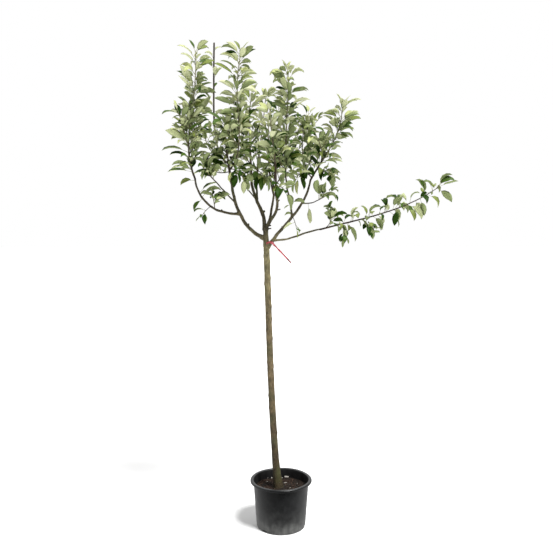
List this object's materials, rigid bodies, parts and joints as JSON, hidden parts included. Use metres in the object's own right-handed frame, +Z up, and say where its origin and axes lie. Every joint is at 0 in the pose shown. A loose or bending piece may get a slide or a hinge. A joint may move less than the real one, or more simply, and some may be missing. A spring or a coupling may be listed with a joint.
{
  "type": "young half-standard apple tree in a nursery pot",
  "caption": "Young apple tree in leaf with a clear stem, an open crown of upright shoots, one long side shoot and a red label strip, in a round black nursery pot of soil.",
  "frame": {"origin": "centre of the pot's flat underside, on the floor", "axes": "+Z up along the tree, +X to the right of the picture, where the long side shoot reaches; +Y away from the camera"},
  "size_m": [1.3189, 0.6066, 2.3577],
  "materials": {
    "pot_plastic": "satin black plastic, dusty at the foot",
    "soil": "rough moist potting soil",
    "bark": "rough olive-grey young bark",
    "foliage": "green leaves with pale felted undersides",
    "label_red": "red plastic strip, bare"
  },
  "bodies": {
    "root": {"drooping_spray": "foliage", "far_left_limb": "bark", "far_left_spray": "foliage", "label_strip": "label_red", "lateral_limb": "bark", "lateral_spray": "foliage", "left_bough": "bark", "left_spray": "foliage", "left_spur_spray": "foliage", "left_twig": "bark", "left_twig_spray": "foliage", "low_left_spray": "foliage", "mid_back_spray": "foliage", "mid_fork_spray": "foliage", "mid_front_spray": "foliage", "mid_left_bough": "bark", "mid_left_fork": "bark", "mid_left_spray": "foliage", "mid_right_back_bough": "bark", "mid_right_front_bough": "bark", "pot": "pot_plastic", "right_bough": "bark", "right_spray": "foliage", "right_twig": "bark", "right_twig_spray": "foliage", "right_upright_limb": "bark", "right_upright_spray": "foliage", "soil": "soil", "trunk": "bark"}
  },
  "joints": []
}
